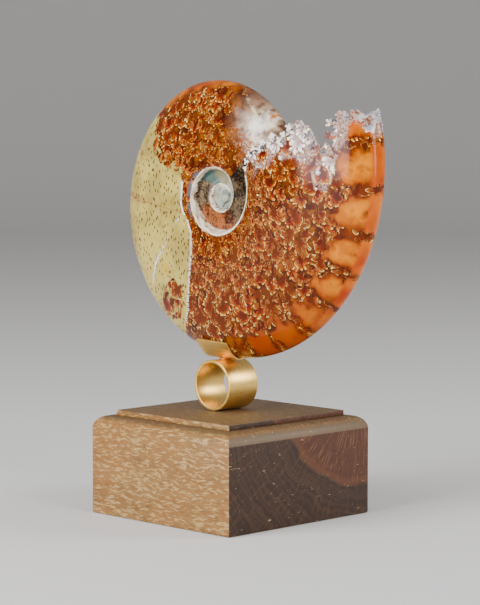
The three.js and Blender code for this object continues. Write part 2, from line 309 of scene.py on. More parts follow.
def inner_whorls():
    last = round((INNER_TURNS[1] - INNER_TURNS[0]) / INNER_STEP)
    lines = [inner_row(k, last) for k in range(last + 1)]
    whole = bmesh.new()
    for side in (-1, 1):
        points = np.array([coil_point(turn, r, side * y) for turn, r, y in lines])
        half = bpy.data.meshes.new("half")
        sheet = sheet_mesh(points)
        sheet.to_mesh(half)
        sheet.free()
        whole.from_mesh(half)
        bpy.data.meshes.remove(half)
    return close_up(whole, 2e-7)


def suture_turn(across, depth, hollow):
    """The suture's main line: depth fades its lobes and hollow sinks it into the chamber."""
    def fall(at, size, width):
        return size * np.exp(-((across - at) / width) ** 4)

    lobes = sum(fall(*lobe) for lobe in SUTURE_LOBES)
    drop = SUTURE_DROP[0] * np.exp(-np.maximum(across, 0) / SUTURE_DROP[1])
    sunk = hollow * fall(*SEPTUM_HOLLOW)
    return np.radians(SUTURE_LEAN[0] - SUTURE_LEAN[1] * across - drop - depth * lobes - sunk)


def suture_main(depth, hollow):
    across = np.linspace(*SUTURE_REACH, SUTURE_POINTS)
    turn = suture_turn(across, depth, hollow)
    radius = flank_radius(turn, across)
    return np.stack([radius * np.cos(turn), radius * np.sin(turn)], axis=-1)


def septum_line(marks, phase, scale, depth, hollow, frill, small_phase=None):
    """The main line with its frills, and the small frills on them where their phase is given."""
    main = suture_main(depth, hollow)
    index = np.clip(np.floor(marks).astype(int), 0, SUTURE_POINTS - 2)
    along = main[index + 1] - main[index]
    base = main[index] + along * (marks - index)[:, None]
    along /= np.linalg.norm(along, axis=1)[:, None]
    up = np.stack([-along[:, 1], along[:, 0]], axis=-1)
    size = (FRILL_HEIGHT * scale * frill)[:, None]
    line = (base + up * size * np.cos(phase)[:, None]
            + along * size * FRILL_NECK * np.sin(2 * phase)[:, None])
    if small_phase is None:
        return line
    step = np.gradient(line, axis=0)
    step /= np.linalg.norm(step, axis=1)[:, None]
    square = np.stack([-step[:, 1], step[:, 0]], axis=-1)
    height = SMALL_FRILL_HEIGHT * frill
    return (line + square * height * np.cos(small_phase)[:, None]
            + step * height * FRILL_NECK * np.sin(2 * small_phase)[:, None])


def septum_cutter():
    """Everything above the folded last septum, its small frills standing on the frills."""
    main = suture_main(1.0, 0.0)
    length = np.linalg.norm(np.diff(main, axis=0), axis=1)
    scale_here = np.sqrt(np.linalg.norm(main[:-1], axis=1) / FRILL_RADIUS)
    phase_at = np.concatenate([[0], np.cumsum(length / (FRILL_LENGTH * scale_here))])
    phase = np.arange(0, phase_at[-1], 1 / FRILL_STEPS)
    marks = np.interp(phase, phase_at, np.arange(SUTURE_POINTS))
    scale = np.interp(marks, np.arange(SUTURE_POINTS - 1), scale_here)
    phase = phase * 2 * np.pi
    halves = []
    for side, rim_hollow in ((-1, 0.0), (1, FAR_HOLLOW)):
        plain = septum_line(marks, phase, scale, 1.0, rim_hollow, 1.0)
        run = np.cumsum(np.linalg.norm(np.diff(plain, axis=0, prepend=plain[:1]), axis=1))
        small = run / SMALL_FRILL_LENGTH * 2 * np.pi
        rim = septum_line(marks, phase, scale, 1.0, rim_hollow, 1.0, small)
        turn = np.arctan2(rim[:, 1], rim[:, 0]) + 2 * np.pi
        radius = np.linalg.norm(rim, axis=1)
        rim_y = np.maximum(flank_half(turn, across_at(turn, radius)), SEPTUM_LEAST_HALF)
        half = []
        for q in SEPTUM_STATIONS:
            rise = (q / SEPTUM_STATIONS[-1]) ** 2
            line = septum_line(marks, phase, scale, 0.5 + 0.5 * rise,
                               1 + (rim_hollow - 1) * rise, rise, small)
            half.append((line, side * q * rim_y))
        half.append((rim, side * (rim_y + RIM_MARGIN)))
        half.append((septum_line(marks, phase, scale, 1.0, rim_hollow, 0.0),
                     np.full(len(rim), side * CUTTER_HALF)))
        halves.append(half)
    rows = halves[0][:0:-1] + halves[1]
    low = np.array([np.stack([COIL_X + p[:, 0], y, COIL_Z + p[:, 1]], -1) for p, y in rows]) * MM
    high = low + np.array([0, 0, CUTTER_HEIGHT]) * MM
    section = np.concatenate([low, high[::-1]], axis=0).transpose(1, 0, 2)
    return close_up(sheet_mesh(section, around=True))


def listed(items, name, width, kind=float):
    """One row of numbers for each vertex, corner or face."""
    values = np.empty(len(items) * width, dtype=kind)
    items.foreach_get(name, values)
    return values.reshape(-1, width)


def note_coil(piece):
    """Keeps where each corner is on the coil, and how far below the broken edge.

    Each face's turn starts on the outer whorl and goes back a whole turn until the face lies on
    that whorl's flank or wall.
    """
    mesh = piece.data
    place = listed(mesh.vertices, "co", 3) / MM - (COIL_X, 0, COIL_Z)
    middle = listed(mesh.polygons, "center", 3) / MM - (COIL_X, 0, COIL_Z)
    corner = listed(mesh.loops, "vertex_index", 1, int)[:, 0]
    sides = listed(mesh.polygons, "loop_total", 1, int)[:, 0]
    polar = np.arctan2(middle[:, 2], middle[:, 0])
    radius = np.hypot(middle[:, 0], middle[:, 2])
    thick = np.abs(middle[:, 1])
    turn = np.where(polar + 2 * np.pi > np.radians(OUTER_TURNS[1] + 3), polar, polar + 2 * np.pi)
    for _ in range(3):
        inside = across_at(turn - 2 * np.pi, radius)
        flank = thick > flank_half(turn, across_at(turn, radius)) - FLANK_SLACK
        wall = thick > flank_half(turn - 2 * np.pi, inside) + WALL_SLACK
        wall &= radius > OUTER_WALL[0][0] * shoulder(turn)
        mine = np.where(radius > shoulder(turn), flank, wall)
        turn = np.where(mine, turn, turn - 2 * np.pi)
    turn, polar = np.repeat(turn, sides), np.repeat(polar, sides)
    at = place[corner]
    here = np.arctan2(at[:, 2], at[:, 0])
    turn = turn + (here - polar + np.pi) % (2 * np.pi) - np.pi
    radius = np.hypot(at[:, 0], at[:, 2])
    values = np.stack([turn / (2 * np.pi), across_at(turn, radius), radius - shoulder(turn)], -1)
    layer = mesh.attributes.new("coil", "FLOAT_VECTOR", "CORNER")
    layer.data.foreach_set("vector", values.ravel().astype(np.float32))
    below = radius * (suture_turn(values[:, 1], 1.0, 0.0) - turn)
    layer = mesh.attributes.new("below_rim", "FLOAT", "CORNER")
    layer.data.foreach_set("value", below.astype(np.float32))


def boolean(target, tool, operation):
    cut = target.modifiers.new(operation, "BOOLEAN")
    cut.operation = operation
    cut.solver = "MANIFOLD"
    cut.object = tool
    return cut


def baked(piece):
    """Applies the piece's modifiers to its mesh."""
    graph = bpy.context.evaluated_depsgraph_get()
    done = bpy.data.meshes.new_from_object(piece.evaluated_get(graph))
    piece.modifiers.clear()
    old, piece.data = piece.data, done
    bpy.data.meshes.remove(old)
    return piece


def shade(piece, sharp=40.0):
    piece.data.polygons.foreach_set("use_smooth", [True] * len(piece.data.polygons))
    piece.data.set_sharp_from_angle(angle=math.radians(sharp))
    return piece


# materials
class Value:
    """A socket in a finish, so that a pattern's maths reads as a plain expression."""

    def __init__(self, finish, socket):
        self.finish, self.socket = finish, socket

    def math(self, operation, *others):
        settings = {"operation": operation}
        return self.finish.node("ShaderNodeMath", settings, dict(enumerate((self, *others))))

    def __add__(self, other):
        return self.math("ADD", other)

    __radd__ = __add__

    def __sub__(self, other):
        return self.math("SUBTRACT", other)

    def __rsub__(self, other):
        return self.math("MULTIPLY_ADD", -1, other)

    def __mul__(self, other):
        return self.math("MULTIPLY", other)

    __rmul__ = __mul__

    def __truediv__(self, other):
        return self.math("DIVIDE", other)

    def __neg__(self):
        return self * -1

    def size(self):
        return self.math("ABSOLUTE")

    def other(self, name):
        """Another socket of the same node."""
        return Value(self.finish, self.socket.node.outputs[name])

    def parts(self):
        split = self.finish.node("ShaderNodeSeparateXYZ", {}, {0: self})
        return split, split.other("Y"), split.other("Z")

    def low(self, other):
        return self.math("MINIMUM", other)

    def high(self, other):
        return self.math("MAXIMUM", other)

    def step(self, low, high):
        """0 below low, 1 above high and smooth between them; low may be above high."""
        settings = {"interpolation_type": "SMOOTHSTEP"}
        if low > high:
            return 1 - self.step(high, low)
        return self.finish.node("ShaderNodeMapRange", settings, {0: self, 1: low, 2: high})


class Finish:
    """A material whose nodes are all made by node()."""

    def __init__(self, name, **fixed):
        self.material = bpy.data.materials.new(name)
        self.material.use_nodes = True
        self.tree = self.material.node_tree
        self.tree.nodes.clear()
        self.surface = self.tree.nodes.new("ShaderNodeBsdfPrincipled")
        out = self.tree.nodes.new("ShaderNodeOutputMaterial")
        self.tree.links.new(self.surface.outputs[0], out.inputs[0])
        for socket, value in fixed.items():
            self.surface.inputs[socket.replace("_", " ")].default_value = value

    def node(self, kind, settings=None, sockets=None, out=0):
        made = self.tree.nodes.new(kind)
        for key, value in (settings or {}).items():
            if key == "stops":
                ramp = made.color_ramp
                while len(ramp.elements) < len(value):
                    ramp.elements.new(1.0)
                for element, (place, colour) in zip(ramp.elements, value):
                    element.position = place
                    element.color = (*colour, 1.0)
            else:
                setattr(made, key, value)
        for key, value in (sockets or {}).items():
            self.put(made.inputs[key], value)
        return Value(self, made.outputs[out])

    def put(self, socket, value):
        if isinstance(value, Value):
            self.tree.links.new(value.socket, socket)
        elif isinstance(value, tuple) and len(value) == 3 and socket.type == "RGBA":
            socket.default_value = (*value, 1.0)
        else:
            socket.default_value = value

    def feed(self, socket, value):
        self.put(self.surface.inputs[socket], value)

    def vector(self, operation, a, b, c=None):
        sockets = {0: a, 1: b} if c is None else {0: a, 1: b, 2: c}
        return self.node("ShaderNodeVectorMath", {"operation": operation}, sockets)

    def joined(self, x, y, z=0.0):
        return self.node("ShaderNodeCombineXYZ", {}, {0: x, 1: y, 2: z})

    def mix(self, factor, a, b):
        settings = {"data_type": "RGBA", "clamp_factor": True}
        return self.node("ShaderNodeMix", settings, {0: factor, 6: a, 7: b}, out=2)

    def ramp(self, place, stops):
        return self.node("ShaderNodeValToRGB", {"stops": stops}, {0: place})

    def object_place(self, scale=(1, 1, 1), turn=(0, 0, 0), shift=(0, 0, 0)):
        here = self.node("ShaderNodeTexCoord", out="Object")
        settings = {"vector_type": "POINT"}
        return self.node("ShaderNodeMapping", settings,
                         {"Vector": here, "Location": shift, "Rotation": turn, "Scale": scale})

    def attribute(self, name, out):
        return self.node("ShaderNodeAttribute", {"attribute_name": name}, {}, out)

    def noise(self, place, scale, detail=2.0, rough=0.5, out=0):
        return self.node("ShaderNodeTexNoise", {},
                         {"Vector": place, "Scale": scale, "Detail": detail, "Roughness": rough},
                         out)

    def cells(self, place, scale, spread=1.0, out=0):
        return self.node("ShaderNodeTexVoronoi", {"voronoi_dimensions": "2D"},
                         {"Vector": place, "Scale": scale, "Randomness": spread}, out)

    def bump(self, height, strength, distance):
        return self.node("ShaderNodeBump", {},
                         {"Height": height, "Strength": strength, "Distance": distance})


def srgb(red, green, blue):
    """Linear colour from the 0 to 255 numbers of a colour picker."""
    part = [c / 255 for c in (red, green, blue)]
    return tuple(c / 12.92 if c <= 0.04045 else ((c + 0.055) / 1.055) ** 2.4 for c in part)


def length_of(a, b):
    return (a * a + b * b).math("SQRT")


def brushed_brass(name, along):
    """Satin brass with fine brush lines along one axis: 0 is X, 1 is Y and 2 is Z."""
    finish = Finish(name, Metallic=1.0)
    stretch = tuple(70 if k == along else 2400 for k in range(3))
    place = finish.object_place()
    lines = finish.noise(finish.object_place(scale=stretch), 1.0, 3.0, 0.6)
    cloud = finish.noise(place, 110.0, 3.0)
    grains = finish.noise(place, 1500.0)
    tone = finish.mix(lines.step(0.3, 0.7), srgb(226, 176, 82), srgb(250, 214, 130))
    tone = finish.mix(cloud.step(0.45, 0.8) * 0.6, tone, srgb(212, 154, 66))
    tone = finish.mix(grains.step(0.62, 0.74) * 0.5, tone, srgb(255, 232, 170))
    finish.feed("Base Color", tone)
    finish.feed("Roughness", lines * 0.14 + cloud * 0.1 + 0.25)
    finish.feed("Normal", finish.bump(lines + grains * 0.5, 0.5, 0.00005))
    return finish.material


def oak_finish():
    """Oak cut from a board: fibres along X, and growth rings round a pith above the far side."""
    finish = Finish("oak", Specular_IOR_Level=0.35)
    place = finish.object_place(scale=(1000, 1000, 1000))
    x, y, z = place.parts()
    normal = finish.node("ShaderNodeNewGeometry", out="Normal").parts()
    end_face = normal[0].size().step(0.45, 0.75)
    shaded_top_face = normal[2].step(0.7, 0.95)
    y_from_pith, z_from_pith = y - PITH[0], z - PITH[1]
    from_pith = length_of(y_from_pith, z_from_pith) + finish.noise(place, 0.05) * 14
    angle = z_from_pith.math("ARCTAN2", y_from_pith)

    # Long grain: rows of short, wavy, pale flecks between the pores
    wave = finish.noise(place, 0.12) * 5
    flecks = finish.noise(finish.joined(x * 0.2, y * 0.9, z + wave), 1.15, 2.0, 0.55)
    pores = finish.noise(finish.joined(x * 0.09, y * 1.6, z * 1.6 + wave), 1.4)
    cloud = finish.noise(place, 0.035)
    rings = finish.noise(finish.joined(from_pith * 0.3, x * 0.004), 1.0, 3.0)
    long_grain = finish.mix(rings.step(0.35, 0.65), srgb(126, 88, 44), srgb(142, 104, 56))
    long_grain = finish.mix(cloud.step(0.4, 0.65) * 0.5, long_grain, srgb(146, 96, 44))
    long_grain = finish.mix(pores.step(0.55, 0.7) * 0.6, long_grain, srgb(92, 62, 30))
    long_grain = finish.mix(flecks.step(0.5, 0.64) * 0.75, long_grain, srgb(186, 154, 100))
    # Painted shade: the top faces of the oak are darkened.
    long_grain = finish.mix(shaded_top_face * 0.7, long_grain, srgb(78, 62, 44))

    # End grain: dark, partly its own tone and partly painted shade on the end face, with rays from
    # the pith and a redder heart round it
    rays = finish.noise(finish.joined(angle * 34, from_pith * 0.05), 1.6, 3.0)
    arcs = finish.noise(finish.joined(from_pith * 0.55, angle * 1.5), 1.0)
    end_grain_and_shade = finish.mix(arcs.step(0.35, 0.65), srgb(48, 32, 22), srgb(64, 44, 30))
    heart = from_pith.step(67, 63)
    heart_edge = (from_pith - 65).size().step(3, 0.5)
    end_grain_and_shade = finish.mix(heart * 0.6, end_grain_and_shade, srgb(88, 46, 26))
    end_grain_and_shade = finish.mix(heart_edge * 0.4, end_grain_and_shade, srgb(112, 66, 38))
    end_grain_and_shade = finish.mix(rays.step(0.52, 0.66) * (heart * 0.4 + 0.12), end_grain_and_shade,
                           srgb(134, 92, 62))
    dust = finish.noise(place, 0.8).step(0.68, 0.74)
    end_grain_and_shade = finish.mix(dust * 0.4, end_grain_and_shade, srgb(150, 124, 96))
    # Painted light: a lighter band along the rounded top edge of the end faces.
    lit_rounded_edge = z.step(43.0, 43.4) * z.step(49.6, 49.3)
    end_grain_and_shade = finish.mix(lit_rounded_edge * 0.75, end_grain_and_shade, srgb(118, 98, 74))

    colour = finish.mix(end_face, long_grain, end_grain_and_shade)
    scuffs = finish.noise(finish.object_place(scale=(300, 300, 1300)), 1.0, 1.0).step(0.74, 0.78)
    colour = finish.mix(scuffs * 0.5, colour, srgb(214, 190, 150))
    finish.feed("Base Color", colour)
    finish.feed("Roughness", flecks * -0.2 + 0.62)
    finish.feed("Normal", finish.bump(-pores + flecks * 0.4, 0.35, 0.00012))
    return finish.material


def leaf_layer(finish, place, cell, shift, scallop):
    """Lobed leaves on a loose lattice, tips pointing down and to the left.

    Gives millimetres to the leaf's edge, negative inside, millimetres to the end of the nearest
    lobe, the leaf's tone from its stem to its tips, the centre's distance from the coil's axis
    and a random number for each leaf.
    """
    moved = finish.vector("ADD", place, shift)
    nearest = finish.cells(moved, 1 / cell, 0.8, out="Position")
    chance = nearest.other("Color").parts()
    off = finish.vector("SUBTRACT", moved, nearest).parts()
    centre = finish.vector("SUBTRACT", nearest, shift).parts()
    aim_x = centre[0] * 0.006 - 0.45 + (chance[0] - 0.5) * 0.8
    aim_y = (chance[1] - 0.5) * 0.6 - 0.9
    unit = cell * (chance[2] * 0.3 + 0.8) * length_of(aim_x, aim_y)
    along = (off[0] * aim_x + off[1] * aim_y) / unit + 0.1
    side = (off[1] * aim_x - off[0] * aim_y) / unit
    reach = length_of(along, side)
    bearing = side.math("ARCTAN2", along)
    lobe = (bearing / LOBE_STEP).math("ROUND").low(2).high(-2)
    folded = bearing - lobe * LOBE_STEP
    forward = reach * folded.math("COSINE")
    aside = reach * folded.math("SINE")
    tip = LEAF_TIP - lobe.size() * 0.035
    head = length_of(forward - tip, aside) - LEAF_HEAD
    neck = length_of(forward - forward.high(0).low(tip), aside) - LEAF_NECK
    body = reach - LEAF_BODY
    stem = length_of(along - along.high(-0.5).low(0), side) - LEAF_STEM
    edge = head.math("SMOOTH_MIN", neck, 0.05).math("SMOOTH_MIN", body, 0.08)
    edge = edge.math("SMOOTH_MIN", stem, 0.1)
    tone = (forward / (tip + 0.1)).low(along * 1.4 + 0.75)
    return edge * cell + scallop, (forward - tip) * cell, tone, length_of(*centre[:2]), chance[2]


def suture_leaves(finish, flat, ground, bare, pearl):
    """The polished flank: leaf-shaped ends of the sutures over a brown and amber ground.

    Leaves give way where bare is 1, and turn white and lilac where pearl is 1.
    """
    bent = flat
    for scale, amount in ((0.11, 8), (0.4, 2.2)):
        sway = finish.noise(flat, scale, 1.0, out="Color")
        sway = finish.vector("SUBTRACT", sway, (0.5, 0.5, 0.5))
        bent = finish.vector("MULTIPLY_ADD", sway, (amount, amount, 0), bent)
    scallop = finish.cells(flat, 0.55) * 0.9 - 0.4
    worn = finish.noise(flat, 0.25)
    colour = ground
    for cell, shift, near, far in LEAF_LAYERS:
        edge, to_tip, tone, radius, chance = leaf_layer(
            finish, bent, cell, shift, scallop * min(1, cell / 8))
        edge = edge + (1 - radius.step(near - 0.1, near) * radius.step(far, far - 0.1)) * 9
        edge = edge + bare * 6
        leaf = finish.ramp(tone, [(place, srgb(*pick)) for place, pick in LEAF_TONES])
        leaf = finish.mix(chance * 0.7, leaf, srgb(100, 42, 0))
        pale = finish.mix(tone.step(0.1, 0.8), srgb(168, 128, 124), srgb(252, 248, 242))
        leaf = finish.mix(pearl * chance.step(0.3, 0.36), leaf, pale)
        colour = finish.mix(edge.step(0.9, 0.1) * 0.5, colour, srgb(44, 12, 0))
        colour = finish.mix(edge.step(0.1, -0.1), colour, leaf)
        line = edge.size().step(0.16, 0.04) * worn.step(0.42, 0.6)
        cream = edge.step(-0.4, -0.06) * edge.step(0.12, 0.0) * to_tip.step(0.2, 0.9)
        colour = finish.mix(line * 0.7, colour, srgb(206, 138, 64))
        colour = finish.mix(cream, colour, srgb(255, 222, 136))
    return colour


def course(finish, along, low, high, places):
    """A vein's X, looked up from Z between low and high in pairs of Z and X."""
    least, most = VEIN_RANGE
    span = high - low
    stops = tuple(((z - low) / span, ((x - least) / (most - least),) * 3) for z, x in places)
    return finish.ramp((along - low) / span, stops).parts()[0] * (most - least) + least


class ShellFinish(Finish):
    """The polished fossil, each of whose markings is laid over the colour given to it.

    x and z count millimetres from the coil's axis, turn degrees along the coil, across from 0 at
    the shoulder to 1 at the keel, wall millimetres out from the shoulder and below_rim
    millimetres down from the broken edge. A noise named by_ is the plain one, centred on 0.
    """

    def __init__(self):
        super().__init__("suture_shell", Roughness=0.1, Specular_IOR_Level=0.2)
        self.flat = self.object_place(turn=(math.radians(-90), 0, 0), scale=(1000, 1000, 1000),
                                      shift=(-COIL_X, -COIL_Z, 0))
        self.x, self.z, _ = self.flat.parts()
        whole_turns, self.across, self.wall = self.attribute("coil", "Vector").parts()
        self.turn = whole_turns * 360
        self.below_rim = self.attribute("below_rim", "Fac")
        self.cloud = self.noise(self.flat, 0.06)
        self.patch = self.noise(self.vector("ADD", self.flat, (40, 10, 0)), 0.16)
        self.specks = self.noise(self.flat, 0.9)
        self.marble = self.noise(self.flat, 0.14, 5.0, 0.62)
        self.by_patch = self.patch - 0.5
        self.by_specks = self.specks - 0.5
        self.by_marble = self.marble - 0.5
        self.from_vein = self.x - course(self, self.z, *MAIN_VEIN)
        self.veined = self.turn.step(45, 60) * self.turn.step(300, 280)

    def brown(self):
        tone = self.mix(self.cloud.step(0.4, 0.6), srgb(66, 16, 0), srgb(98, 42, 0))
        return self.mix(self.patch.step(0.45, 0.65), tone, srgb(134, 70, 0))

    def amber(self, ground):
        """Smooth amber between the sutures near the keel, and the plain orange keel."""
        turn, across, cloud = self.turn, self.across, self.cloud
        beat = ((turn - AMBER_TURN + (cloud - 0.5) * 5) / AMBER_PERIOD + 0.5).math("FRACT")
        beat = beat * AMBER_PERIOD - AMBER_PERIOD / 2
        blob = (across - 0.915 + self.by_patch * 0.3) / 0.13
        heart = 1 - (beat * beat / 34 + blob * blob) + self.by_marble * 1.6
        end = (turn + self.by_patch * 6).step(378, 383) * across.step(0.78, 0.86)
        amber = (heart.step(-0.1, 0.5) * turn.step(272, 288)).high(end)
        glow = self.mix(heart.step(0.1, 1.1) * turn.step(285, 360), srgb(146, 54, 0),
                        srgb(224, 132, 0))
        glow = self.mix(self.patch.step(0.5, 0.7) * 0.5, glow, srgb(160, 66, 0))
        glow = self.mix(end * 0.8, glow, srgb(192, 80, 0))
        ground = self.mix(amber, ground, glow)
        hands = (beat.size() + self.by_specks * 3).step(4.9, 5.9) * turn.step(382, 378)
        ground = self.mix(hands * across.step(0.84, 0.9) * turn.step(285, 300) * 0.7, ground,
                          srgb(120, 44, 0))
        keel_band = (across + self.by_specks * 0.03).step(0.965, 0.985) * turn.step(300, 330)
        keel_tone = self.mix(cloud.step(0.3, 0.7), srgb(176, 58, 0), srgb(222, 112, 8))
        ground = self.mix(keel_band, ground, keel_tone)
        crest = (across + self.by_marble * 0.5 + self.by_specks * 0.05).step(0.87, 0.95)
        crest = crest * turn.step(80, 92) * turn.step(170, 150)
        crest_tone = self.mix(cloud.step(0.35, 0.6), srgb(206, 122, 6), srgb(150, 58, 0))
        ground = self.mix(crest, ground, crest_tone)
        return ground, (amber.high(keel_band) * (1 - hands * (1 - amber))).high(crest)

    def pearl(self, ground):
        """Pearl that is left below the broken edge."""
        notch = (self.across - 0.64) * 3.8
        depth = (1 - notch * notch).high(0) * 11 + 8 - self.across.step(0.76, 0.86) * 5
        pearl = (self.below_rim + self.by_patch * 10 - depth).step(2.5, -1.5)
        pearl = pearl * self.across.step(0.06, 0.14)
        tone = self.mix(self.specks.step(0.35, 0.65), srgb(120, 70, 44), srgb(190, 160, 150))
        return self.mix(pearl, ground, tone), pearl

    def marbled(self, ground):
        """Nacre, marbled in brown and white, with a painted highlight, on the whorl before the
        broken edge.
        """
        x, z, turn = self.x, self.z, self.turn
        nacre = turn.step(30, 34) * (turn + self.by_marble * 50).step(86, 58)
        nacre = nacre * (self.across + self.by_patch * 0.2).step(0.3, 0.5) * turn.step(200, 120)
        tone = self.mix(self.marble.step(0.36, 0.64) * (1 - z.step(41, 47) * 0.45),
                        srgb(92, 58, 38), srgb(206, 178, 148))
        low_left = (-z - x * 0.6 + 44 + self.by_patch * 14).step(0, 5)
        tone = self.mix(low_left * self.specks.step(0.42, 0.56), tone, srgb(140, 66, 14))
        # Painted highlight: a soft white spot that stands in for a lamp's reflection on the nacre.
        painted_highlight = 1 - length_of((x - 23.5) / 8, (z - 35.5) / 8) + self.by_marble * 2.4
        tone = self.mix(painted_highlight.step(0.1, 0.9), tone, srgb(246, 238, 226))
        streak_x, streak_z = x - 16.5, z - 45
        streak = (streak_x * 0.7 + streak_z * 0.7).size() + length_of(streak_x, streak_z) * 0.12
        streak = (streak + self.by_marble * 3).step(1.6, 0.4)
        tone = self.mix(streak * 0.8, tone, srgb(252, 234, 190))
        spot = length_of(x - 28.5, (z - 39) * 0.6) + self.by_marble * 4
        tone = self.mix(spot.step(1.9, 0.6), tone, srgb(190, 104, 20))
        return self.mix(nacre, ground, tone), nacre

    def stone(self):
        """Olive matrix with small pits, a crack and a stain."""
        x, z, patch = self.x, self.z, self.patch
        tone = self.mix(self.cloud.step(0.35, 0.65), srgb(192, 170, 84), srgb(156, 134, 64))
        tone = self.mix(self.by_marble.size().step(0.12, 0.0) * 0.2, tone, srgb(206, 190, 120))
        tone = self.mix(length_of(x + 36.6, z + 37.2).step(4.5, 1.0) * 0.7, tone,
                        srgb(196, 162, 30))
        crack = (z + x * 0.15 + 11.9 + self.by_marble * 2).size()
        stain = crack.step(2.6, 0.5) * (-x - 46).step(0, 8) * self.specks.step(0.45, 0.6)
        tone = self.mix(crack.step(0.5, 0.15) * 0.5, tone, srgb(160, 96, 56))
        tone = self.mix(stain, tone, srgb(140, 84, 56))
        pits = self.cells(self.object_place(turn=(math.radians(-90), 0, 0.5),
                                            scale=(1500, 1000, 800)), 0.3)
        return self.mix(pits.step(0.26, 0.12) * patch.step(0.36, 0.5), tone, srgb(62, 44, 24))

    def matrix(self, ground):
        """Stone on the left, with the last row of leaves and a few sprigs lying over it."""
        x, z, from_vein = self.x, self.z, self.from_vein
        from_top = ((z + x * 0.46) * 0.9).low(x + 44.4 + (z - 19.9) * 0.2) + self.by_patch * 10
        matrix = from_top.step(2.8, 2.2) * from_vein.step(0.4, 0.0) * self.veined
        sprigs = 1 - length_of((x + 33 - (z + 53) * 0.4) / 13, (z + 54) / 16)
        clear = from_top.step(-1.0, -6.0) * from_vein.step(-0.2, -1.2) * matrix
        clear = clear * (1 - (sprigs + self.by_patch * 0.6).step(0.0, 0.4))
        return self.mix(matrix, ground, self.stone()), clear

    def veins(self, colour):
        """White crystal in two veins, one along the edge of the stone and one across it."""
        z, specks = self.z, self.specks
        main = (self.from_vein.size() + (specks - 0.48) * z.step(-14, -22) * 6).step(0.75, 0.45)
        main = main * z.step(-66, -62) * z.step(8, 6) * (z + 11).size().step(0.8, 1.6)
        side = self.x - course(self, z, *SIDE_VEIN)
        side = (side.size() + self.by_specks * 8).step(1.0, 0.3) * z.step(-47, -44)
        side = side * z.step(-10, -12)
        side = side * (self.patch + (z + 22).size() * 0.018).step(0.52, 0.7)
        crystal = self.mix(specks.step(0.4, 0.5), srgb(176, 164, 142), srgb(250, 247, 240))
        return self.mix((main + side).low(1) * self.veined, colour, crystal)

    def inner_tone(self):
        """The dull inner turns, which show in the umbilicus."""
        place = self.turn - self.turn.step(45, 46) * 360 + self.by_patch * 60
        grit = (self.marble + self.specks * 0.6).step(0.66, 0.96)
        tone = self.mix(grit, srgb(26, 18, 10), srgb(104, 84, 60))
        for begins, full, share, dark, light in INNER_TONES:
            tone = self.mix(place.step(begins, full) * share, tone,
                            self.mix(grit, srgb(*dark), srgb(*light)))
        rings = self.noise(self.joined(self.wall, self.turn * 0.01), 2.2)
        heart = self.mix(rings.step(0.4, 0.6), srgb(124, 132, 122), srgb(174, 178, 162))
        return self.mix(self.turn.step(-290, -300), tone, heart)

    def white_wall(self, colour, within):
        """Dull wall below the shoulder, white shell along it, and a blue sheen beside that."""
        turn = self.turn
        width = turn.step(200, 262) * 0.5 + turn.step(95, 140) * 0.3 + 0.15
        thick = turn.step(190, 250) * 1.5 - turn.step(300, 365) * 1.8 + 1.5 + self.by_patch * 3
        lamellae = self.noise(self.joined(turn * 0.03, self.wall), 1.6, 3.0)
        white = self.mix(lamellae.step(0.42, 0.58), srgb(246, 238, 220), srgb(208, 180, 148))
        white = self.mix(lamellae.step(0.58, 0.7), white, srgb(120, 74, 44))
        from_edge = self.wall + self.by_specks * 1.2 - width
        inside = from_edge.step(0.35, -0.35) * turn.step(-345, -320)
        colour = self.mix(inside, colour, within)
        colour = self.mix(inside * (from_edge + thick).step(-0.4, 0.4), colour, white)
        foot = (self.below_rim + self.by_specks).step(1.7, 1.0) * self.across.step(0.55, 0.4)
        colour = self.mix(foot, colour, srgb(246, 238, 222))
        blue = from_edge.step(-0.2, 0.6) * from_edge.step(3.0, 1.4) * turn.step(120, 145)
        blue = blue * turn.step(225, 200) * self.patch.step(0.44, 0.56)
        return self.mix(blue * 0.7, colour, srgb(72, 96, 104))


def shell_finish():
    finish = ShellFinish()
    ground, bare = finish.amber(finish.brown())
    ground, pearl = finish.pearl(ground)
    ground, nacre = finish.marbled(ground)
    ground, clear = finish.matrix(ground)
    bare = bare.high(nacre).high(clear)
    colour = finish.veins(suture_leaves(finish, finish.flat, ground, bare, pearl))
    inner = (finish.turn + (finish.across - 0.35).high(0) * 25).step(45.5, 44.5)
    within = finish.inner_tone()
    colour = finish.mix(inner, colour, within)
    finish.feed("Base Color", finish.white_wall(colour, within))
    return finish.material


def septum_finish():
    """Folded nacre: white and lilac at the rim, dark red-brown down in the chamber."""
    finish = Finish("pearly_septum", Roughness=0.25, Specular_IOR_Level=0.3)
    place = finish.object_place(scale=(1000, 1000, 1000))
    _, y, z = place.parts()
    swirl = finish.noise(place, 0.3, 3.0)
    tone = finish.mix(swirl.step(0.4, 0.6), srgb(236, 226, 222), srgb(176, 160, 166))
    tone = finish.mix(swirl.step(0.56, 0.66) * 0.6, tone, srgb(140, 166, 184))
    deep = y.size().step(13, 8) * z.step(193, 188)
    finish.feed("Base Color", finish.mix(deep, tone, srgb(104, 34, 14)))
    return finish.material


# pieces
def make_ammonite():
    shell, pearl = shell_finish(), septum_finish()
    outer = to_object(outer_whorl(), "outer_whorl", shell)
    cutter = to_object(septum_cutter(), "septum_cutter", pearl)
    inner = to_object(inner_whorls(), "ammonite_shell", shell)
    boolean(outer, cutter, "DIFFERENCE").material_mode = "TRANSFER"
    boolean(inner, outer, "UNION").material_mode = "TRANSFER"
    baked(inner)
    for spare in (outer, cutter):
        bpy.data.meshes.remove(spare.data)
    shade(inner)
    note_coil(inner)
    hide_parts("ammonite")
    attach(inner, "root")


